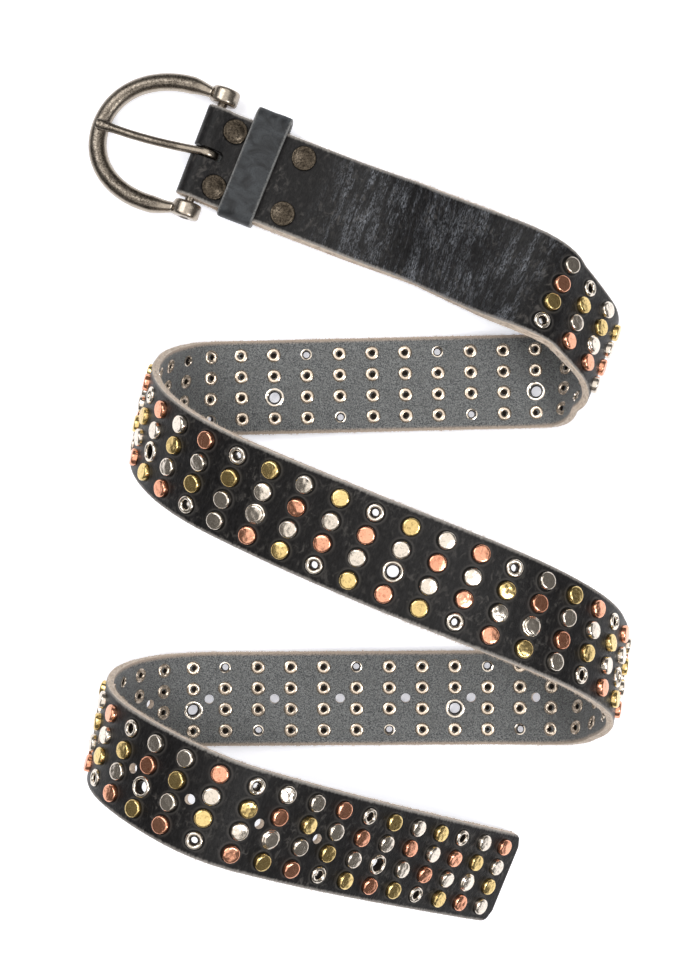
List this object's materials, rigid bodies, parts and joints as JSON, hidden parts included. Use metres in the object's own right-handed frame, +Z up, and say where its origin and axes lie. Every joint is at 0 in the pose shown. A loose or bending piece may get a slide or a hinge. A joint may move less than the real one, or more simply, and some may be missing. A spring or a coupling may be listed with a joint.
{
  "type": "studded belt",
  "caption": "Leather belt set all over with small metal studs, laid down in a loose coil, with a folded buckle end, a keeper loop and a horseshoe buckle whose bow and prong swing on its pin.",
  "frame": {"origin": "middle of the underside of the box round the whole belt, on the table it lies on", "axes": "+Z up from the table; +Y along the longest side of the coil, towards the buckle end; +X to the right seen from above with the buckle at the top"},
  "size_m": [0.223, 0.3644, 0.1163],
  "materials": {
    "strap_leather": "smooth black, worn grey on the folds",
    "keeper_leather": "rubbed grey",
    "stud_nickel": "polished nickel cap",
    "stud_copper": "copper plated cap",
    "stud_brass": "brass plated cap",
    "rivet_metal": "dark antique nickel",
    "buckle_metal": "antique silver with dark patina"
  },
  "bodies": {
    "belt": {"strap": "strap_leather", "keeper": "keeper_leather", "rivet_1": "rivet_metal", "rivet_2": "rivet_metal", "rivet_3": "rivet_metal", "rivet_4": "rivet_metal"},
    "buckle_bow": {"bow": "buckle_metal", "pin": "buckle_metal"},
    "buckle_prong": {"prong": "buckle_metal"}
  },
  "joints": [
    {"name": "bow_hinge", "type": "hinge", "parent": "belt", "child": "buckle_bow", "pos_m": [-0.06087, 0.14734, 0.00632], "axis": [0.3481, 0.9375, 0.0034], "range_deg": [-30, 45]},
    {"name": "prong_hinge", "type": "hinge", "parent": "buckle_bow", "child": "buckle_prong", "pos_m": [-0.06087, 0.14734, 0.00632], "axis": [0.3481, 0.9375, 0.0034], "range_deg": [0, 60]}
  ]
}
